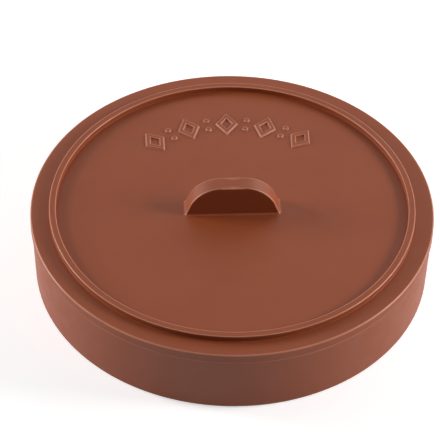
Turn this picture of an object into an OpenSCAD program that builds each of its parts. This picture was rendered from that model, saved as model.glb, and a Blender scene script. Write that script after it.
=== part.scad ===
// Round tortilla warmer: a shallow dish and a lift-off lid with a tab handle.
// Millimetres, +Z up. The origin is on the axis, on the surface that the dish
// stands on. Both mouldings are turned about Z, apart from the handle and the
// raised ornament on the lid.

/* [Overall] */
// Diameter across the lid's lip, the widest place
lid_d = 195; // [170:1:240]
// Height of the closed box, from the table to the top of the raised ring
box_h = 40; // [32:1:60]

/* [Lid] */
// Thickness of the lid's plate
plate_t = 2.4; // [1.8:0.1:3.2]
// Height of the lip, from the top of the ledge to the lip's lower edge
lip_h = 5; // [4.5:0.1:8]
// Thickness of the lip
lip_t = 1.6; // [1.2:0.1:2.4]
// Rounding of the lid's outer top edge
lid_edge_r = 0.6; // [0.3:0.1:1.2]
// Rounding of the lip's lower outer edge
lip_edge_r = 0.3; // [0.1:0.1:0.5]

/* [Raised ring] */
// Width of the flat ledge outside the ring
ledge_w = 9.1; // [7:0.1:14]
// Width of the ring
ring_w = 3.3; // [2.4:0.1:6]
// Height of the ring above the ledge
ring_h = 3; // [1.6:0.1:5]
// Rounding of the ring's two top edges
ring_edge_r = 0.4; // [0.2:0.1:0.8]

/* [Handle] */
// Width of the handle where it meets the lid
handle_w = 45.6; // [40:0.1:60]
// Height of the handle above the lid's centre panel
handle_h = 16.2; // [14:0.1:24]
// Depth of the handle at its foot
handle_foot_depth = 9.6; // [8.5:0.1:14]
// Depth of the handle at its top
handle_top_depth = 8; // [7:0.1:9.4]
// Radius of the handle's two shoulders, held back where the handle is too narrow
handle_shoulder_r = 16.8; // [8:0.1:20]
// Width of the flat along the handle's top
handle_flat = 10; // [4:0.1:13]
// Wall left round the core that hollows the handle from below
handle_wall = 3.1; // [2.2:0.1:3.3]

/* [Ornament] */
// Radius of the arc on which the raised ornament stands
ornament_arc_r = 60; // [52:1:72]
// Number of lozenges along the arc
lozenge_count = 5; // [3:1:7]
// Angle from one lozenge to the next
lozenge_step = 18.5; // [16:0.5:22]
// Length of a lozenge, measured along a radius
lozenge_l = 15; // [9:0.5:18]
// Width of a lozenge
lozenge_w = 11; // [8:0.5:12]
// Width of the raised band that a lozenge is drawn with
lozenge_band = 2.2; // [1.2:0.1:2.6]
// Diameter of the studs that stand in pairs between the lozenges
stud_d = 2.8; // [2:0.1:3.6]
// Distance between the two studs of a pair
stud_gap = 6.4; // [5:0.1:10]
// Height of the ornament above the centre panel
ornament_h = 0.8; // [0.4:0.1:1.4]

/* [Dish] */
// How far the lid's lip stands out past the dish wall below it
lip_overhang = 0.5; // [0.2:0.1:1]
// How far the dish wall leans in from its shoulder down to the table
dish_draft = 1; // [0.4:0.1:3]
// Thickness of the tongue that the lid drops over
tongue_t = 1.4; // [1.2:0.1:2.4]
// Rounding of the tongue's outer top edge
tongue_edge_r = 0.3; // [0.1:0.1:0.5]
// Thickness of the dish floor
floor_t = 2.6; // [1.8:0.1:4]
// Radius in the inside corner between floor and wall
corner_r = 6; // [2:0.5:10]
// Rounding of the outer bottom edge
foot_edge_r = 1.5; // [0.5:0.1:2.5]
// Width of the foot ring, from the dish's outside inwards
foot_w = 8; // [6:0.1:14]
// Height of the foot ring below the underside of the floor
foot_h = 1; // [0.4:0.1:2]

/* [Fits] */
// Clearance all round between the lip and the tongue
lip_clearance = 0.3; // [0.2:0.05:0.6]
// Gap between the lip's lower edge and the dish shoulder
seam_gap = 0.4; // [0.2:0.05:0.8]

/* [Hidden] */
$fn = 180;

dish_colour = [0.51, 0.28, 0.21];
lid_colour = [0.545, 0.306, 0.231];
// How far a piece of one moulding runs into the next, and a cut past a face
overlap = 0.5;
// How far inside a round a leaning side starts, so that the two cross cleanly
bite = 0.01;

// Lid: heights from the top of the ring down, radii from the lip inwards
lid_r = lid_d / 2;
ledge_z = box_h - ring_h;
seat_z = ledge_z - plate_t;
lip_z = ledge_z - lip_h;
lip_inner_r = lid_r - lip_t;
ring_outer_r = lid_r - ledge_w;
ring_inner_r = ring_outer_r - ring_w;

// Dish: the tongue takes its place from the lip, the wall from the overhang
tongue_outer_r = lip_inner_r - lip_clearance;
tongue_inner_r = tongue_outer_r - tongue_t;
shoulder_z = lip_z - seam_gap;
wall_outer_r = lid_r - lip_overhang;
foot_outer_r = wall_outer_r - dish_draft;
recess_r = foot_outer_r - foot_w;
floor_top_z = foot_h + floor_t;
// Lean of the wall from the upright, and the radius at which its inside meets the floor
wall_lean = atan(dish_draft / shoulder_z);
floor_r = tongue_inner_r - (seat_z - floor_top_z) * tan(wall_lean);

// Handle: its shoulders leave at least shoulder_margin of its half width to the
// flanks, which lean in by flank_lean and run straight up to the shoulders
shoulder_margin = 1;
shoulder_r = min(handle_shoulder_r, (handle_w - handle_flat) / 2 - shoulder_margin);
flank_lean = flank_direction(handle_w / 2, handle_flat / 2, shoulder_r, handle_h) - 90;
core_h = handle_h - handle_wall;
handle_depth_at_core = handle_foot_depth
    - (handle_foot_depth - handle_top_depth) * core_h / handle_h;

// Direction of the line from the foot (half_w, 0) that touches the shoulder
// arc of radius r about (half_flat, h - r), in degrees from +X
function flank_direction(half_w, half_flat, r, h) =
    let (across = half_w - half_flat, up = h - r)
    180 - atan(up / across) - asin(r / norm([across, up]));

// Length of that line, from the foot to the arc
function flank_length(half_w, half_flat, r, h) =
    sqrt((half_w - half_flat) ^ 2 + (h - r) ^ 2 - r ^ 2);

// Rectangle between two opposite corners
module box_section(x0, z0, x1, z1) {
    translate([x0, z0]) square([x1 - x0, z1 - z0]);
}

// Bar with both of its top corners rounded
module bar_section(x0, z0, x1, z1, r) {
    box_section(x0, z0, x1, z1 - r);
    box_section(x0 + r, z0, x1 - r, z1);
    translate([x0 + r, z1 - r]) circle(r);
    translate([x1 - r, z1 - r]) circle(r);
}

// Section from the axis out to a side that leans out by lean, its bottom
// corner at (x, z0) rounded by r
module leaning_section(x, z0, z1, r, lean) {
    centre = [x - r * tan(45 - lean / 2), z0 + r];
    polygon([
        [0, z0],
        [centre.x, z0],
        centre,
        centre + (r - bite) * [cos(lean), -sin(lean)],
        [x + (z1 - z0) * tan(lean), z1],
        [0, z1]
    ]);
    translate(centre) circle(r);
}

// Section from the axis out to x, its outer corners rounded by r_low and r_high
module disc_section(x, z0, z1, r_low, r_high) {
    box_section(0, z0, x - r_low, z1 - r_high);
    box_section(0, z0 + r_low, x - r_high, z1);
    box_section(0, z0 + r_low, x, z1 - r_high);
    translate([x - r_low, z0 + r_low]) circle(r_low);
    translate([x - r_high, z1 - r_high]) circle(r_high);
}

// Front outline of the handle: a flat top, round shoulders and straight
// flanks, with a straight root below it of height sink
module tab_outline(half_w, half_flat, r, h, sink) {
    direction = flank_direction(half_w, half_flat, r, h);
    touch = [half_w, 0]
        + flank_length(half_w, half_flat, r, h) * [cos(direction), sin(direction)];
    polygon([
        [-half_w, -sink],
        [half_w, -sink],
        [half_w, 0],
        touch,
        [half_flat, h],
        [-half_flat, h],
        [-touch.x, touch.y],
        [-half_w, 0]
    ]);
    for (side = [-1, 1]) {
        translate([side * half_flat, h - r]) circle(r);
    }
}

// Solid with the front outline above, tapering from foot_depth to top_depth
module tab_block(half_w, half_flat, r, h, foot_depth, top_depth, sink) {
    long = foot_depth + 2 * overlap;
    intersection() {
        rotate([90, 0, 0])
            translate([0, 0, -long / 2])
            linear_extrude(long)
            tab_outline(half_w, half_flat, r, h, sink);
        rotate([90, 0, 90])
            translate([0, 0, -half_w - overlap])
            linear_extrude(2 * (half_w + overlap))
            polygon([
                [-foot_depth / 2, -sink - overlap],
                [foot_depth / 2, -sink - overlap],
                [foot_depth / 2, 0],
                [top_depth / 2, h],
                [top_depth / 2, h + overlap],
                [-top_depth / 2, h + overlap],
                [-top_depth / 2, h],
                [-foot_depth / 2, 0]
            ]);
    }
}

// The handle's outside, its root sunk into the plate
module handle_tab() {
    tab_block(handle_w / 2, handle_flat / 2, shoulder_r, handle_h,
              handle_foot_depth, handle_top_depth, overlap);
}

// Core that hollows the handle, open through the underside of the plate
module handle_core() {
    tab_block(handle_w / 2 - handle_wall / cos(flank_lean), handle_flat / 2,
              shoulder_r - handle_wall, core_h,
              handle_foot_depth - 2 * handle_wall,
              handle_depth_at_core - 2 * handle_wall, plate_t + overlap);
}

// Lozenge with its points along a radius, grown or shrunk all round by grow
module lozenge_outline(grow) {
    spread = grow * norm([lozenge_l, lozenge_w]);
    half_l = lozenge_l / 2 + spread / lozenge_w;
    half_w = lozenge_w / 2 + spread / lozenge_l;
    polygon([[0, -half_l], [half_w, 0], [0, half_l], [-half_w, 0]]);
}

// One lozenge: a raised band all round the bare panel
module lozenge() {
    translate([0, 0, -overlap]) linear_extrude(overlap + ornament_h) {
        difference() {
            lozenge_outline(0);
            lozenge_outline(-lozenge_band);
        }
    }
}

// Two studs, one further out along the radius than the other
module stud_pair() {
    for (side = [-1, 1]) {
        translate([0, side * stud_gap / 2, -overlap])
            cylinder(h = overlap + ornament_h, d = stud_d);
    }
}

// Place on the ornament's arc, a number of steps clockwise from its middle
module on_arc(steps) {
    rotate([0, 0, -steps * lozenge_step]) translate([0, ornament_arc_r, 0]) children();
}

// Row of lozenges along the arc, with a pair of studs in each space
module lid_ornament() {
    first = -(lozenge_count - 1) / 2;
    for (i = [0 : lozenge_count - 1]) {
        on_arc(first + i) lozenge();
    }
    for (i = [0 : lozenge_count - 2]) {
        on_arc(first + i + 0.5) stud_pair();
    }
}

// Flat plate with the lip that hangs down outside the tongue
module lid_plate() {
    rotate_extrude() {
        difference() {
            disc_section(lid_r, lip_z, ledge_z, lip_edge_r, lid_edge_r);
            box_section(-overlap, lip_z - overlap, lip_inner_r, seat_z);
        }
    }
}

// Raised ring that stands on the plate
module lid_ring() {
    rotate_extrude() {
        bar_section(ring_inner_r, ledge_z - overlap, ring_outer_r, box_h, ring_edge_r);
    }
}

// Round dish: foot ring, floor, leaning wall, shoulder and tongue
module base_dish() {
    color(dish_colour)
    rotate_extrude() {
        difference() {
            union() {
                leaning_section(foot_outer_r, 0, shoulder_z, foot_edge_r, wall_lean);
                disc_section(tongue_outer_r, shoulder_z - overlap, seat_z,
                             tongue_edge_r, tongue_edge_r);
            }
            leaning_section(floor_r, floor_top_z, seat_z + overlap, corner_r, wall_lean);
            box_section(0, -overlap, recess_r, foot_h);
        }
    }
}

// Lid: plate, lip, raised ring, ornament and hollow handle in one moulding
module lid() {
    color(lid_colour)
    difference() {
        union() {
            lid_plate();
            lid_ring();
            translate([0, 0, ledge_z]) handle_tab();
            translate([0, 0, ledge_z]) lid_ornament();
        }
        translate([0, 0, ledge_z]) handle_core();
    }
}

base_dish();
lid();
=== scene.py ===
"""Round tortilla warmer in terracotta-brown moulded plastic: a shallow dish and a
lift-off lid with a raised ring, a tab handle and a row of raised lozenges.

Every piece is one or more closed skins over level loops, worked out with numpy in
metres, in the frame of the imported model.
"""

import math

import bpy
import numpy as np
from mathutils import Matrix, Vector


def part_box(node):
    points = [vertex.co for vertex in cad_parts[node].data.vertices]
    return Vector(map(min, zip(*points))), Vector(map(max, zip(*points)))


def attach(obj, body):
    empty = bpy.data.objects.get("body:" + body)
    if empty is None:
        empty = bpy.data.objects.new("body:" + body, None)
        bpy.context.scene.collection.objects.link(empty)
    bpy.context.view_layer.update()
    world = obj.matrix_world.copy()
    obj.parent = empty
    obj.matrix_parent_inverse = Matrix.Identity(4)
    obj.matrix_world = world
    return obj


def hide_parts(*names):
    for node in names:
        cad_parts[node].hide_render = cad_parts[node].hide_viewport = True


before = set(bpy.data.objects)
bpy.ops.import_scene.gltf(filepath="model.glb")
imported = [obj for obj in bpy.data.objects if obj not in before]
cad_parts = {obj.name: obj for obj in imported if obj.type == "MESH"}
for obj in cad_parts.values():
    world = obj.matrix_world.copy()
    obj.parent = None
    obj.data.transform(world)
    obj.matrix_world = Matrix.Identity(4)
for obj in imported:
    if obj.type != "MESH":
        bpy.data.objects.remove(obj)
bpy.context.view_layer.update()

MM = 0.001

# --------------------------------------------------------------------------
# Sizes. The outside comes from the frame, the rest are the real sizes.
# --------------------------------------------------------------------------
LID_LOW, LID_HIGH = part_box("lid")
DISH_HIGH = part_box("base_dish")[1]

LID_R = LID_HIGH[0]
LIP_Z = LID_LOW[2]
SEAT_Z = DISH_HIGH[2]
HANDLE_TOP_Z = LID_HIGH[2]

# Lid: plate, lip, flat ledge and raised ring
PLATE_T = 2.4 * MM
LIP_T = 1.6 * MM
LEDGE_W = 9.1 * MM
RING_W = 3.3 * MM
RING_H = 3.0 * MM
LEDGE_Z = SEAT_Z + PLATE_T
LIP_INNER_R = LID_R - LIP_T
RING_TOP_Z = LEDGE_Z + RING_H
RING_OUTER_R = LID_R - LEDGE_W
RING_INNER_R = RING_OUTER_R - RING_W
# Rounding of the lid's corners and edges, from the inside of the lip to the ring
PLATE_CORNER_R = 0.5 * MM
LIP_EDGE_R = 0.3 * MM
LID_EDGE_R = 0.6 * MM
RING_FOOT_R = 0.15 * MM
RING_EDGE_R = 0.4 * MM

# Dish: the tongue takes its place from the lip, the wall from the overhang
LIP_CLEARANCE = 0.3 * MM
TONGUE_T = 1.4 * MM
SEAM_GAP = 0.4 * MM
LIP_OVERHANG = 0.5 * MM
DISH_DRAFT = 1.0 * MM
FOOT_W = 8.0 * MM
FOOT_H = 1.0 * MM
FLOOR_T = 2.6 * MM
TONGUE_OUTER_R = LIP_INNER_R - LIP_CLEARANCE
TONGUE_INNER_R = TONGUE_OUTER_R - TONGUE_T
SHOULDER_Z = LIP_Z - SEAM_GAP
WALL_R = LID_R - LIP_OVERHANG
FOOT_R = WALL_R - DISH_DRAFT
RECESS_R = FOOT_R - FOOT_W
FLOOR_Z = FOOT_H + FLOOR_T
FLOOR_R = TONGUE_INNER_R - (SEAT_Z - FLOOR_Z) * (WALL_R - FOOT_R) / SHOULDER_Z
# Rounding of the dish's corners and edges, from the recess underneath to the floor
RECESS_CORNER_R = 0.3 * MM
RECESS_EDGE_R = 0.4 * MM
FOOT_EDGE_R = 1.5 * MM
SHOULDER_EDGE_R = 0.3 * MM
TONGUE_FOOT_R = 0.2 * MM
TONGUE_EDGE_R = 0.3 * MM
FLOOR_CORNER_R = 6.0 * MM

# Handle: its front outline is a straight flank, a shoulder arc and a level top
HANDLE_W = 45.6 * MM
HANDLE_FLAT = 10.0 * MM
HANDLE_SHOULDER_R = 16.8 * MM
HANDLE_H = HANDLE_TOP_Z - LEDGE_Z
HANDLE_FOOT_DEPTH = 9.6 * MM
HANDLE_TOP_DEPTH = 8.0 * MM
HANDLE_EDGE_R = 0.5 * MM
HANDLE_FOOT_FILLET = 0.9 * MM
# Wall left round the core that hollows the handle, and rounding of the core
HANDLE_WALL = 3.1 * MM
CORE_EDGE_R = 0.4 * MM

# Ornament: lozenges along an arc, with a pair of studs in each space
ARC_R = 60.0 * MM
LOZENGE_COUNT = 5
LOZENGE_STEP = math.radians(18.5)
LOZENGE_L = 15.0 * MM
LOZENGE_W = 11.0 * MM
LOZENGE_BAND = 2.2 * MM
LOZENGE_CORNER_R = 0.3 * MM
STUD_R = 1.4 * MM
STUD_GAP = 6.4 * MM
STUD_EDGE_R = 0.35 * MM
ORNAMENT_H = 0.8 * MM
ORNAMENT_EDGE_R = 0.4 * MM
ORNAMENT_FOOT_R = 0.35 * MM
# Depth under the panel of a figure's root, and of the pit within a lozenge's band
ORNAMENT_ROOT = 0.3 * MM
PIT_DEPTH = ORNAMENT_ROOT / 2
# Depth under the panel of the loop past a foot, which keeps the foot's shading level
SKIRT_DROP = 0.004 * MM

# --------------------------------------------------------------------------
# Spacing of the loops and of their points
# --------------------------------------------------------------------------
# Points round a large loop: along half the side, the corner and half the front
SIDE_POINTS = 16
CORNER_POINTS = 14
FRONT_POINTS = 80
LOOP_POINTS = 4 * (SIDE_POINTS + CORNER_POINTS + FRONT_POINTS)
# Points round one corner of a lozenge, and round a stud
LOZENGE_CORNER_POINTS = 10
STUD_POINTS = 32
# Largest sine at which a handle corner starts, so that its points never meet
CORNER_LIMIT = 0.998

# Loops round one corner of a turned section
SECTION_CORNER_LOOPS = 9
# Loops round the handle's foot, up its flank, over its shoulder and round its core's rim
HANDLE_FOOT_LOOPS = 8
FLANK_LOOPS = 8
SHOULDER_LOOPS = 30
CORE_RIM_LOOPS = 7
# Loops round the foot and over the edge of a figure
FIGURE_FOOT_LOOPS = 5
FIGURE_EDGE_LOOPS = 7
# Distance between the holding loops at either end of a straight stretch
HOLD = 0.08 * MM

# Radius of the dish's smallest loops, next to the poles
POLE_R = 4.0 * MM
# Loops that close the level end of the handle or of its core, as shares of its outline
END_SHARES = (0.97, 0.5, 0.1)
# Circle round the handle inside which the plate's loops turn into its outline
HANDLE_ZONE_R = 30.0 * MM
# Those loops, as shares of the way from the outline to the circle
ZONE_SHARES = (0.03, 0.3, 0.7, 1.0)
# Radius from which a loop's points are evenly spaced. It is over twice the circle's,
# so that the faces between don't fold over where the points shift.
EVEN_R = 62.0 * MM

# Radius of an outward edge that gets the full painted highlight
HIGHLIGHT_EDGE_R = 0.7 * MM
# Sine of 30 degrees. An edge gets the full painted highlight where its normal points up
# by as much or more, and none where it points down by as much or more.
HIGHLIGHT_TILT = 0.5


# --------------------------------------------------------------------------
# Curves
# --------------------------------------------------------------------------
def rounded_path(corners):
    """Polyline (r, z) through corners (r, z, radius), all but the ends made arcs.

    A corner of radius q between two sides that turn through the angle a starts
    and ends q * tan(a / 2) from the corner. Each straight stretch also gets two
    points HOLD apart at either end, so that smooth shading and the painted
    highlight on the edges stay off the flats.
    """
    corners = np.asarray(corners, dtype=float)
    points, radii = corners[:, :2], corners[:, 2]
    out = [points[0]]
    for before, corner, after, radius in zip(points[:-2], points[1:-1], points[2:], radii[1:-1]):
        d_in = (corner - before) / np.linalg.norm(corner - before)
        d_out = (after - corner) / np.linalg.norm(after - corner)
        turn = math.atan2(d_in[0] * d_out[1] - d_in[1] * d_out[0], float(d_in @ d_out))
        side = math.copysign(1.0, turn)
        start = corner - d_in * radius * math.tan(abs(turn) / 2)
        centre = start + radius * side * np.array([-d_in[1], d_in[0]])
        angles = np.linspace(0.0, turn, SECTION_CORNER_LOOPS)
        spoke = start - centre
        arc = centre + np.stack([
            spoke[0] * np.cos(angles) - spoke[1] * np.sin(angles),
            spoke[0] * np.sin(angles) + spoke[1] * np.cos(angles),
        ], axis=1)
        out.extend([start - d_in * 2 * HOLD, start - d_in * HOLD])
        out.extend(arc)
        out.extend([arc[-1] + d_out * HOLD, arc[-1] + d_out * 2 * HOLD])
    out.append(points[-1])
    return np.array(out)


def quarter_round(radius, count):
    """Pairs (radius * (1 - cos a), radius * (1 - sin a)) for the angle a from 0 to 90
    degrees: how far a round's points are from the face that it leaves, and how far
    from the face that it runs into."""
    angles = np.linspace(0.0, math.pi / 2, count)
    return [(radius * (1 - math.cos(a)), radius * (1 - math.sin(a))) for a in angles]


def flank_lean(half_w, half_flat, shoulder_r, top):
    """Angle from the upright of the line from (half_w, 0) that touches the
    shoulder arc of radius shoulder_r about (half_flat, top - shoulder_r)."""
    across = half_w - half_flat
    up = top - shoulder_r
    return math.pi / 2 - math.atan2(up, across) - math.asin(shoulder_r / math.hypot(across, up))


def tab_reach(height, inset, half_w, half_flat, shoulder_r, top):
    """Half width of the handle's front outline, drawn in by inset, at a height.

    The flank is the line from (half_w, 0) that touches the shoulder arc, moved
    in by inset. Above it the outline is the arc of radius shoulder_r - inset
    about (half_flat, top - shoulder_r).
    """
    up = top - shoulder_r
    lean = flank_lean(half_w, half_flat, shoulder_r, top)
    radius = shoulder_r - inset
    height = np.maximum(height, 0.0)
    flank = half_w - height * math.tan(lean) - inset / math.cos(lean)
    arc = half_flat + np.sqrt(np.maximum(radius ** 2 - (height - up) ** 2, 0.0))
    return np.where(height < up + radius * math.sin(lean), flank, arc)


def quarter_to_loop(quarter):
    """Closed loop, anticlockwise from +X, mirrored from its first quarter."""
    flip_x = np.array([-1.0, 1.0])
    back = quarter[:0:-1]
    return np.concatenate([quarter[:-1], back * flip_x, -quarter[:-1], -back * flip_x])


def level(loop, height):
    """Plane loop set at a height."""
    return np.column_stack([loop, np.full(len(loop), height)])


def tab_loop(height, outline, foot_depth, top_depth, edge_r, flare=0.0):
    """Level loop of the handle at a height above the plate.

    A corner at the angle t between the front face and the band round it is the
    outline drawn in by edge_r * (1 - sin t), at edge_r * (1 - cos t) behind the
    front face. Above top - edge_r the corner starts at a larger t. The flare
    pushes the loop out along its level normal, for the fillet at the foot.
    """
    top = outline["top"]
    depth = foot_depth + (top_depth - foot_depth) * np.clip(height / top, 0.0, 1.0)
    first = math.asin(np.clip(1 - (top - height) / edge_r, 0.0, CORNER_LIMIT))
    turn = np.linspace(math.pi / 2, first, CORNER_POINTS)
    corner_x = tab_reach(height, edge_r * (1 - np.sin(turn)), **outline)
    corner_y = depth / 2 - edge_r * (1 - np.cos(turn))
    corner = np.stack([corner_x + flare * np.sin(turn), corner_y + flare * np.cos(turn)], axis=1)
    side_y = np.linspace(0.0, corner[0, 1], SIDE_POINTS, endpoint=False)
    side = np.stack([np.full(SIDE_POINTS, corner[0, 0]), side_y], axis=1)
    front_x = np.linspace(corner[-1, 0], 0.0, FRONT_POINTS + 2)[1:]
    front = np.stack([front_x, np.full(FRONT_POINTS + 1, corner[-1, 1])], axis=1)
    return level(quarter_to_loop(np.concatenate([side, corner, front])), LEDGE_Z + height)


def circle_loop(radius, angles):
    """Points at the given angles of a circle of that radius about the origin."""
    return radius * np.stack([np.cos(angles), np.sin(angles)], axis=1)


def turned_loops(corners):
    """Level circles along the rounded path through (r, z, radius) corners."""
    angles = np.linspace(0.0, 2 * math.pi, LOOP_POINTS, endpoint=False)
    return [level(circle_loop(r, angles), z) for r, z in rounded_path(corners)]


# --------------------------------------------------------------------------
# Meshes
# --------------------------------------------------------------------------
def loft_faces(rows, columns):
    """Quads between successive loops, and the triangles of a fan at both ends.

    Vertex 0 and the last one are the poles, and loop i starts at 1 + i * columns.
    """
    i, j = np.meshgrid(np.arange(rows - 1), np.arange(columns), indexing="ij")
    k = (j + 1) % columns
    low = 1 + i * columns
    high = low + columns
    quads = np.stack([low + j, low + k, high + k, high + j], axis=-1)
    ring = np.arange(columns)
    after = (ring + 1) % columns
    last = 1 + (rows - 1) * columns
    start = np.stack([np.zeros_like(ring), 1 + after, 1 + ring], axis=-1)
    end = np.stack([np.full_like(ring, last + columns), last + ring, last + after], axis=-1)
    return quads.reshape(-1, 4), np.concatenate([start, end])


def loft(loops, start_pole, end_pole):
    """Vertices, quads and fans of a closed skin over loops, from pole to pole."""
    vertices = np.concatenate([[start_pole], np.concatenate(loops), [end_pole]])
    quads, fans = loft_faces(len(loops), len(loops[0]))
    return vertices, quads, fans


def read_all(items, field, width, kind):
    """Array of one field of a mesh's items, with a row of width numbers for each."""
    values = np.empty(width * len(items), dtype=kind)
    items.foreach_get(field, values)
    return values.reshape(-1, width)


def mark_edges(mesh):
    """Writes the attribute of the painted edge highlight: 0 on flats and in hollows,
    up to 1 where an outward edge is as round as the radius of a full highlight or sharper.

    Along a mesh edge from p to q, with the normals m and n there, the bend is
    (n - m) . (q - p) / |q - p| ^ 2, which is 1 / radius on a round. A vertex takes
    the largest bend of its edges, times that radius, and times a share that rises
    evenly with its normal's z, from 0 at minus the sine of 30 degrees to 1 at plus it,
    so that the highlight is painted on edges that face up towards the lamps.
    """
    points = read_all(mesh.vertices, "co", 3, np.float32).astype(float)
    normals = read_all(mesh.vertex_normals, "vector", 3, np.float32)
    start, end = read_all(mesh.edges, "vertices", 2, np.int32).T
    along = points[end] - points[start]
    bend = ((normals[end] - normals[start]) * along).sum(axis=1) / (along ** 2).sum(axis=1)
    sharpest = np.zeros(len(points))
    np.maximum.at(sharpest, start, bend)
    np.maximum.at(sharpest, end, bend)
    # Painted highlight: full on rounded outward edges whose normals point up, none on edges that
    # face down
    facing = np.clip((normals[:, 2] + HIGHLIGHT_TILT) / (2 * HIGHLIGHT_TILT), 0.0, 1.0)
    highlight_level = facing * np.clip(sharpest * HIGHLIGHT_EDGE_R, 0.0, 1.0)
    attribute = mesh.attributes.new("edge_highlight", "FLOAT", "POINT")
    attribute.data.foreach_set("value", highlight_level.astype(np.float32))


def make_piece(name, skins, body, nodes):
    """Smooth-shaded mesh object of the lofted skins, riding on a body."""
    vertices = np.concatenate([skin[0] for skin in skins])
    faces = []
    first = 0
    for points, quads, fans in skins:
        faces.extend((first + quads).tolist())
        faces.extend((first + fans).tolist())
        first += len(points)
    mesh = bpy.data.meshes.new(name)
    mesh.from_pydata(vertices.tolist(), [], faces)
    mesh.update()
    mesh.shade_smooth()
    mark_edges(mesh)
    piece = bpy.data.objects.new(name, mesh)
    bpy.context.scene.collection.objects.link(piece)
    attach(piece, body)
    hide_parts(*nodes)
    return piece


# --------------------------------------------------------------------------
# Dish
# --------------------------------------------------------------------------
def dish_skin():
    """The dish's section (r, z), from the middle of the underside round the
    foot ring, wall and tongue to the middle of the floor, turned about Z."""
    loops = turned_loops([
        (POLE_R, FOOT_H, 0.0),
        (RECESS_R, FOOT_H, RECESS_CORNER_R),
        (RECESS_R, 0.0, RECESS_EDGE_R),
        (FOOT_R, 0.0, FOOT_EDGE_R),
        (WALL_R, SHOULDER_Z, SHOULDER_EDGE_R),
        (TONGUE_OUTER_R, SHOULDER_Z, TONGUE_FOOT_R),
        (TONGUE_OUTER_R, SEAT_Z, TONGUE_EDGE_R),
        (TONGUE_INNER_R, SEAT_Z, TONGUE_EDGE_R),
        (FLOOR_R, FLOOR_Z, FLOOR_CORNER_R),
        (POLE_R, FLOOR_Z, 0.0),
    ])
    return loft(loops, (0.0, 0.0, FOOT_H), (0.0, 0.0, FLOOR_Z))


# --------------------------------------------------------------------------
# Lid
# --------------------------------------------------------------------------
HANDLE_OUTLINE = {
    "half_w": HANDLE_W / 2,
    "half_flat": HANDLE_FLAT / 2,
    "shoulder_r": HANDLE_SHOULDER_R,
    "top": HANDLE_H,
}
# The core's outline is the handle's, drawn in by HANDLE_WALL
CORE_OUTLINE = {
    "half_w": HANDLE_W / 2 - HANDLE_WALL / math.cos(flank_lean(**HANDLE_OUTLINE)),
    "half_flat": HANDLE_FLAT / 2,
    "shoulder_r": HANDLE_SHOULDER_R - HANDLE_WALL,
    "top": HANDLE_H - HANDLE_WALL,
}
CORE_ROOF_Z = LEDGE_Z + CORE_OUTLINE["top"]


def handle_heights(outline, low):
    """Heights of the handle's loops from low to the top.

    Up the flank they are even steps, and over the shoulder even angles, so
    that they crowd together where the outline turns level.
    """
    up = outline["top"] - outline["shoulder_r"]
    touch = up + outline["shoulder_r"] * math.sin(flank_lean(**outline))
    flank = np.linspace(low, touch, FLANK_LOOPS, endpoint=False)
    start = math.acos((touch - up) / outline["shoulder_r"])
    turn = start * np.linspace(1.0, 0.0, SHOULDER_LOOPS)
    return np.concatenate([flank, up + outline["shoulder_r"] * np.cos(turn)])


def end_loops(loop, height):
    """Level loops that close an end of the handle, each a share of its last loop."""
    return [level(loop[:, :2] * share, height) for share in END_SHARES]


def handle_loops():
    """Loops up the outside of the handle, with the fillet at its foot.

    With f for HANDLE_FOOT_FILLET, the fillet's loop at the angle a stands
    f * (1 - cos a) above the panel and f * (1 - sin a) out from the handle's side.
    """
    sides = (HANDLE_FOOT_DEPTH, HANDLE_TOP_DEPTH, HANDLE_EDGE_R)
    loops = []
    for height, flare in quarter_round(HANDLE_FOOT_FILLET, HANDLE_FOOT_LOOPS):
        loops.append(tab_loop(height, HANDLE_OUTLINE, *sides, flare=flare))
    for height in handle_heights(HANDLE_OUTLINE, HANDLE_FOOT_FILLET + HOLD):
        loops.append(tab_loop(height, HANDLE_OUTLINE, *sides))
    return loops + end_loops(tab_loop(HANDLE_H, HANDLE_OUTLINE, *sides), HANDLE_TOP_Z)


def core_loops():
    """Loops of the hollow under the handle, from its roof down to the rim, which
    is rounded in the same way as the handle's foot."""
    roof_share = CORE_OUTLINE["top"] / HANDLE_H
    roof_depth = HANDLE_FOOT_DEPTH + (HANDLE_TOP_DEPTH - HANDLE_FOOT_DEPTH) * roof_share
    sides = (HANDLE_FOOT_DEPTH - 2 * HANDLE_WALL, roof_depth - 2 * HANDLE_WALL, CORE_EDGE_R)
    roof = tab_loop(CORE_OUTLINE["top"], CORE_OUTLINE, *sides)
    loops = end_loops(roof, CORE_ROOF_Z)[::-1]
    for height in handle_heights(CORE_OUTLINE, 0.0)[::-1]:
        loops.append(tab_loop(height, CORE_OUTLINE, *sides))
    for height, flare in quarter_round(CORE_EDGE_R, CORE_RIM_LOOPS)[::-1]:
        loops.append(tab_loop(height - PLATE_T, CORE_OUTLINE, *sides, flare=flare))
    return loops


def zone_loops(inner, height):
    """Level loops between a handle loop and the circle of HANDLE_ZONE_R.

    A share of 0 is the handle's own loop and 1 is the circle, whose points are
    at the angles of the handle's points.
    """
    inner = inner[:, :2]
    outer = circle_loop(HANDLE_ZONE_R, np.unwrap(np.arctan2(inner[:, 1], inner[:, 0])))
    return [level(inner + share * (outer - inner), height) for share in ZONE_SHARES]


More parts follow.
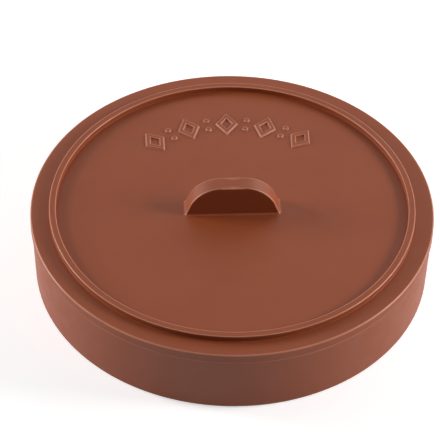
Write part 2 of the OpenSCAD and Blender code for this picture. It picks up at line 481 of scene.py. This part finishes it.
def lid_skin():
    """The lid, from the roof of the handle's core, down and out under the
    plate, round the lip, over the ledge and the ring, in across the panel
    and up the handle."""
    core = core_loops()
    handle = handle_loops()
    below = zone_loops(core[-1], SEAT_Z)
    above = zone_loops(handle[0], LEDGE_Z)[::-1]
    turned = turned_loops([
        (EVEN_R, SEAT_Z, 0.0),
        (LIP_INNER_R, SEAT_Z, PLATE_CORNER_R),
        (LIP_INNER_R, LIP_Z, LIP_EDGE_R),
        (LID_R, LIP_Z, LIP_EDGE_R),
        (LID_R, LEDGE_Z, LID_EDGE_R),
        (RING_OUTER_R, LEDGE_Z, RING_FOOT_R),
        (RING_OUTER_R, RING_TOP_Z, RING_EDGE_R),
        (RING_INNER_R, RING_TOP_Z, RING_EDGE_R),
        (RING_INNER_R, LEDGE_Z, RING_FOOT_R),
        (EVEN_R, LEDGE_Z, 0.0),
    ])
    loops = core + below + turned + above + handle
    return loft(loops, (0.0, 0.0, CORE_ROOF_Z), (0.0, 0.0, HANDLE_TOP_Z))


# --------------------------------------------------------------------------
# Raised ornament
# --------------------------------------------------------------------------
def lozenge_loop(inset):
    """Lozenge drawn in by inset, its corners rounded by LOZENGE_CORNER_R.

    The loop is the smaller lozenge drawn in by inset + LOZENGE_CORNER_R, with a
    circle of radius LOZENGE_CORNER_R carried round it.
    """
    long, wide = LOZENGE_L / 2, LOZENGE_W / 2
    slope = math.hypot(long, wide)
    shrink = inset + LOZENGE_CORNER_R
    reach = np.array([[wide - shrink * slope / long, 0.0], [0.0, long - shrink * slope / wide]])
    tips = np.stack([reach[0], reach[1], -reach[0], -reach[1]])
    side = math.atan2(wide, long)
    spans = [(-side, side), (side, math.pi - side), (math.pi - side, math.pi + side),
             (math.pi + side, 2 * math.pi - side)]
    corners = []
    for tip, (start, end) in zip(tips, spans):
        turn = np.linspace(start, end, LOZENGE_CORNER_POINTS)
        corners.append(tip + circle_loop(LOZENGE_CORNER_R, turn))
    return np.concatenate(corners)


def rise(inset, edge_r):
    """(inset, height) pairs up one side of the relief, from the panel to its top.

    With f for ORNAMENT_FOOT_R, the foot's pair at the angle a is f * (1 - sin a)
    outside the side and f * (1 - cos a) above the panel. The edge's pair is
    edge_r * (1 - cos a) inside the side and edge_r * (1 - sin a) below the top.
    """
    foot = [(inset - out, up)
            for up, out in quarter_round(ORNAMENT_FOOT_R, FIGURE_FOOT_LOOPS)]
    edge = [(inset + past, ORNAMENT_H - under)
            for past, under in quarter_round(edge_r, FIGURE_EDGE_LOOPS)]
    flat = [(inset + edge_r + HOLD, ORNAMENT_H), (inset + edge_r + 2 * HOLD, ORNAMENT_H)]
    return foot + edge + flat


def fall(inset, edge_r):
    """The same pairs down the far side of a band, whose side is at the inset."""
    return [(2 * inset - i, h) for i, h in rise(inset, edge_r)[::-1]]


# A figure's root, from its depth in the plate up to just under the panel
ROOT_STEPS = [(-ORNAMENT_FOOT_R - HOLD, -ORNAMENT_ROOT), (-ORNAMENT_FOOT_R - HOLD, -SKIRT_DROP)]


def lozenge_loops():
    """Loops up the outside of a lozenge's band, over it and down its inside. They end
    in a pit under the panel, so that the panel shows inside the band."""
    inner = LOZENGE_BAND + ORNAMENT_FOOT_R + HOLD
    steps = ROOT_STEPS + rise(0.0, ORNAMENT_EDGE_R) + fall(LOZENGE_BAND, ORNAMENT_EDGE_R)
    steps = steps + [(inner, -SKIRT_DROP), (inner, -PIT_DEPTH)]
    return [level(lozenge_loop(inset), height) for inset, height in steps]


def stud_loops():
    """Loops up the side of a stud and over its edge."""
    angles = np.linspace(0.0, 2 * math.pi, STUD_POINTS, endpoint=False)
    steps = ROOT_STEPS + rise(0.0, STUD_EDGE_R)
    return [level(circle_loop(STUD_R - inset, angles), height) for inset, height in steps]


def place(vertices, angle, radius):
    """Moves vertices from the origin onto the panel and radius out along +Y, and then
    turns them clockwise by angle about Z."""
    moved = vertices + np.array([0.0, radius, LEDGE_Z])
    c, s = math.cos(-angle), math.sin(-angle)
    return moved @ np.array([[c, s, 0.0], [-s, c, 0.0], [0.0, 0.0, 1.0]])


def figure_skin(loops, middle, angle, radius):
    """Closed skin of a figure in its place, from a pole in its root to one at the
    height of middle above the panel."""
    poles = place(np.array([[0.0, 0.0, -ORNAMENT_ROOT], [0.0, 0.0, middle]]), angle, radius)
    return loft([place(loop, angle, radius) for loop in loops], *poles)


def ornament_skins():
    """Lozenges along the arc, with a pair of studs in each space, one stud further
    out than the other."""
    lozenge = lozenge_loops()
    stud = stud_loops()
    first = -(LOZENGE_COUNT - 1) / 2
    skins = []
    for i in range(LOZENGE_COUNT):
        skins.append(figure_skin(lozenge, -PIT_DEPTH, (first + i) * LOZENGE_STEP, ARC_R))
    for i in range(LOZENGE_COUNT - 1):
        for side in (-1, 1):
            angle = (first + i + 0.5) * LOZENGE_STEP
            skins.append(figure_skin(stud, ORNAMENT_H, angle, ARC_R + side * STUD_GAP / 2))
    return skins


# --------------------------------------------------------------------------
# Moulded plastic
# --------------------------------------------------------------------------
PLASTIC = (0.266, 0.051, 0.010, 1.0)
PLASTIC_LIGHT = (0.282, 0.057, 0.012, 1.0)
# Painted highlight along the edges: the same plastic made pale there, and smooth
PLASTIC_HIGHLIGHT = (0.580, 0.220, 0.125, 1.0)
ROUGHNESS = (0.48, 0.56)
EDGE_ROUGHNESS = 0.36
PLASTIC_IOR = 1.49

# Noise patterns: scale, as waves to a metre, and detail
CLOUD_NOISE = (28.0, 3.0)
SHEEN_NOISE = (140.0, 4.0)
PATCH_NOISE = (60.0, 3.0)
GRAIN_NOISE = (2600.0, 2.0)
WARP_NOISE = (30.0, 1.0)
# Values between which most of a noise pattern lies
NOISE_RANGE = (0.3, 0.7)
# Share of the painted edge highlight in its faintest and in its strongest patches
PATCH_RANGE = (0.75, 1.0)
# Bumps: strength and depth
GRAIN_BUMP = (0.25, 0.02 * MM)
WARP_BUMP = (0.5, 0.15 * MM)


def new_material(name):
    """New node material, with its nodes and its links."""
    material = bpy.data.materials.new(name)
    material.use_nodes = True
    return material, material.node_tree.nodes, material.node_tree.links


def noise(nodes, links, vector, scale, detail):
    """Noise texture on a vector socket."""
    node = nodes.new("ShaderNodeTexNoise")
    node.inputs["Scale"].default_value = scale
    node.inputs["Detail"].default_value = detail
    links.new(vector, node.inputs["Vector"])
    return node.outputs["Fac"]


def map_noise(nodes, links, value, low, high):
    """Maps NOISE_RANGE onto low to high."""
    node = nodes.new("ShaderNodeMapRange")
    node.inputs["From Min"].default_value, node.inputs["From Max"].default_value = NOISE_RANGE
    node.inputs["To Min"].default_value = low
    node.inputs["To Max"].default_value = high
    links.new(value, node.inputs["Value"])
    return node.outputs["Result"]


def mix(nodes, links, kind, factor):
    """Mix node of one data type, from A to B by a factor socket."""
    node = nodes.new("ShaderNodeMix")
    node.data_type = kind
    links.new(factor, node.inputs["Factor"])
    return node


def bump(nodes, links, height, strength, distance):
    """Bump node on a height socket."""
    node = nodes.new("ShaderNodeBump")
    node.inputs["Strength"].default_value = strength
    node.inputs["Distance"].default_value = distance
    links.new(height, node.inputs["Height"])
    return node


def moulded_plastic(name):
    """Satin polypropylene: cloudy pigment, a fine eroded grain and slight warp, with a
    painted highlight, pale and smoother, along its outward edges."""
    material, nodes, links = new_material(name)
    shader = nodes["Principled BSDF"]
    where = nodes.new("ShaderNodeTexCoord").outputs["Object"]

    # Painted highlight: the edge mask, broken up in patches, mixes in the pale edge colour and a
    # lower roughness
    edge = nodes.new("ShaderNodeAttribute")
    edge.attribute_name = "edge_highlight"
    patchy_highlight = nodes.new("ShaderNodeMath")
    patchy_highlight.operation = "MULTIPLY"
    links.new(edge.outputs["Fac"], patchy_highlight.inputs[0])
    patches = noise(nodes, links, where, *PATCH_NOISE)
    links.new(map_noise(nodes, links, patches, *PATCH_RANGE), patchy_highlight.inputs[1])

    cloud = noise(nodes, links, where, *CLOUD_NOISE)
    tint = mix(nodes, links, "RGBA", map_noise(nodes, links, cloud, 0.0, 1.0))
    tint.inputs["A"].default_value = PLASTIC
    tint.inputs["B"].default_value = PLASTIC_LIGHT
    colour = mix(nodes, links, "RGBA", patchy_highlight.outputs["Value"])
    colour.inputs["B"].default_value = PLASTIC_HIGHLIGHT
    links.new(tint.outputs["Result"], colour.inputs["A"])
    links.new(colour.outputs["Result"], shader.inputs["Base Color"])

    sheen = noise(nodes, links, where, *SHEEN_NOISE)
    roughness = mix(nodes, links, "FLOAT", patchy_highlight.outputs["Value"])
    roughness.inputs["B"].default_value = EDGE_ROUGHNESS
    links.new(map_noise(nodes, links, sheen, *ROUGHNESS), roughness.inputs["A"])
    links.new(roughness.outputs["Result"], shader.inputs["Roughness"])

    grain = bump(nodes, links, noise(nodes, links, where, *GRAIN_NOISE), *GRAIN_BUMP)
    warp = bump(nodes, links, noise(nodes, links, where, *WARP_NOISE), *WARP_BUMP)
    links.new(grain.outputs["Normal"], warp.inputs["Normal"])
    links.new(warp.outputs["Normal"], shader.inputs["Normal"])

    shader.inputs["IOR"].default_value = PLASTIC_IOR
    return material


# --------------------------------------------------------------------------
# Stage, light and camera
# --------------------------------------------------------------------------
WHITE = (1.0, 1.0, 1.0, 1.0)
# Half the side of the table top
FLOOR_HALF = 0.6
FLOOR_COLOUR = (0.8, 0.8, 0.8, 1.0)
# What the floor adds to its own lit colour where it is seen
FLOOR_GLOW = 0.6
# The room's light on matt surfaces
ROOM_FILL = 0.01

LAMP_AIM = (0.0, 0.0, 0.02)
LAMP_DISTANCE = 1.2
# Softboxes: azimuth and elevation in degrees, size in metres and power in watts
SOFTBOXES = {
    "left_softbox": (163, 22, (0.42, 0.3), 8.1),
    "low_left_softbox": (174, 8, (0.6, 0.25), 5.0),
    "right_softbox": (-6, 25, (0.46, 0.3), 9.9),
    "low_right_softbox": (-2, 8, (0.7, 0.25), 2.7),
    "back_right_softbox": (45, 25, (0.7, 0.35), 1.8),
    "back_softbox": (90, 29, (1.2, 0.45), 1.0),
    "top_softbox": (90, 88, (1.0, 1.0), 0.8),
}

# The photograph's camera, as fitted to the outline and to the raised ring: its
# distance in metres and its angles in degrees
VIEW_DISTANCE = 1.2089
VIEW_ELEVATION = 44.65
VIEW_AZIMUTH = -3.6
VIEW_ROLL = -1.29
FOCAL_PX = 2468.3
FRAME_PX = 440
# Pixel where the point that the camera is aimed at shows, and its height
AIM_PX = (231.48, 239.9)
AIM_Z = 15.0 * MM
SENSOR_MM = 36.0
# Distance up to which the camera sees, in metres
CLIP_END = 50.0


def seen_as_white(nodes, links):
    """Socket that is 1 for camera, glossy and transmission rays, and 0 for diffuse ones."""
    rays = nodes.new("ShaderNodeLightPath")
    socket = rays.outputs["Is Camera Ray"]
    for kind in ("Is Glossy Ray", "Is Transmission Ray"):
        either = nodes.new("ShaderNodeMath")
        either.operation = "MAXIMUM"
        links.new(socket, either.inputs[0])
        links.new(rays.outputs[kind], either.inputs[1])
        socket = either.outputs["Value"]
    return socket


def make_floor():
    """White table top, seen as lit white paper that keeps the object's shadow."""
    mesh = bpy.data.meshes.new("floor")
    half = FLOOR_HALF
    mesh.from_pydata([(-half, -half, 0), (half, -half, 0), (half, half, 0), (-half, half, 0)],
                     [], [(0, 1, 2, 3)])
    floor = bpy.data.objects.new("floor", mesh)
    bpy.context.scene.collection.objects.link(floor)

    material, nodes, links = new_material("white_floor")
    nodes.remove(nodes["Principled BSDF"])
    diffuse = nodes.new("ShaderNodeBsdfDiffuse")
    diffuse.inputs["Color"].default_value = FLOOR_COLOUR
    glow = nodes.new("ShaderNodeEmission")
    glow.inputs["Color"].default_value = WHITE
    strength = nodes.new("ShaderNodeMath")
    strength.operation = "MULTIPLY"
    strength.inputs[1].default_value = FLOOR_GLOW
    links.new(seen_as_white(nodes, links), strength.inputs[0])
    links.new(strength.outputs["Value"], glow.inputs["Strength"])
    both = nodes.new("ShaderNodeAddShader")
    links.new(diffuse.outputs["BSDF"], both.inputs[0])
    links.new(glow.outputs["Emission"], both.inputs[1])
    links.new(both.outputs["Shader"], nodes["Material Output"].inputs["Surface"])
    mesh.materials.append(material)


def make_world():
    """Dim room that is seen as white, also in the object's gloss."""
    world = bpy.data.worlds.new("room")
    bpy.context.scene.world = world
    world.use_nodes = True
    nodes, links = world.node_tree.nodes, world.node_tree.links
    background = nodes["Background"]
    background.inputs["Color"].default_value = WHITE
    strength = nodes.new("ShaderNodeMapRange")
    strength.inputs["To Min"].default_value = ROOM_FILL
    strength.inputs["To Max"].default_value = 1.0
    links.new(seen_as_white(nodes, links), strength.inputs["Value"])
    links.new(strength.outputs["Result"], background.inputs["Strength"])


def softbox(name, azimuth, elevation, size, power):
    """Rectangular soft light at LAMP_DISTANCE from LAMP_AIM, facing it.

    The azimuth is turned from +X towards +Y.
    """
    lamp = bpy.data.lights.new(name, "AREA")
    lamp.shape = "RECTANGLE"
    lamp.size, lamp.size_y = size
    lamp.energy = power
    light = bpy.data.objects.new(name, lamp)
    turn, lift = math.radians(azimuth), math.radians(elevation)
    outward = Vector((math.cos(lift) * math.cos(turn), math.cos(lift) * math.sin(turn),
                      math.sin(lift)))
    light.location = Vector(LAMP_AIM) + LAMP_DISTANCE * outward
    light.rotation_euler = (-outward).to_track_quat("-Z", "Y").to_euler()
    bpy.context.scene.collection.objects.link(light)


def turn_about_z(degrees):
    """Rotation matrix about the vertical."""
    c, s = math.cos(math.radians(degrees)), math.sin(math.radians(degrees))
    return np.array([[c, -s, 0.0], [s, c, 0.0], [0.0, 0.0, 1.0]])


def make_camera():
    """Camera at the photograph's place.

    It looks at the aim point, is rolled about that line, and is then swung so
    that the aim point shows at AIM_PX and the lens needs no shift.
    """
    elevation = math.radians(VIEW_ELEVATION)
    back = np.array([0.0, -math.cos(elevation), math.sin(elevation)])
    right = np.array([1.0, 0.0, 0.0])
    down = np.cross(-back, right)
    basis = np.stack([right, down, -back], axis=1)

    ray = np.array([AIM_PX[0] - FRAME_PX / 2, AIM_PX[1] - FRAME_PX / 2, FOCAL_PX])
    ray /= np.linalg.norm(ray)
    swing = Vector(ray).rotation_difference(Vector((0.0, 0.0, 1.0))).to_matrix()
    axes = turn_about_z(VIEW_AZIMUTH) @ basis @ turn_about_z(VIEW_ROLL) @ np.array(swing)
    spot = turn_about_z(VIEW_AZIMUTH) @ (back * VIEW_DISTANCE) + np.array([0.0, 0.0, AIM_Z])

    lens = bpy.data.cameras.new("camera")
    lens.sensor_width = SENSOR_MM
    lens.lens = FOCAL_PX / FRAME_PX * SENSOR_MM
    lens.clip_end = CLIP_END
    camera = bpy.data.objects.new("camera", lens)
    world = Matrix.Identity(4)
    columns = (axes[:, 0], -axes[:, 1], -axes[:, 2], spot)
    for column, values in enumerate(columns):
        for row in range(3):
            world[row][column] = float(values[row])
    camera.matrix_world = world
    bpy.context.scene.collection.objects.link(camera)
    bpy.context.scene.camera = camera


# --------------------------------------------------------------------------
# Build
# --------------------------------------------------------------------------
make_camera()
make_floor()
make_world()
for softbox_name, setting in SOFTBOXES.items():
    softbox(softbox_name, *setting)

plastic = moulded_plastic("satin_terracotta_plastic")
dish = make_piece("dish_shell", [dish_skin()], "dish", ["base_dish"])
lid = make_piece("lid_shell", [lid_skin()], "lid", ["lid"])
ornament = make_piece("lid_ornament", ornament_skins(), "lid", ["lid"])
for piece in (dish, lid, ornament):
    piece.data.materials.append(plastic)

bpy.context.scene.view_settings.view_transform = "Standard"
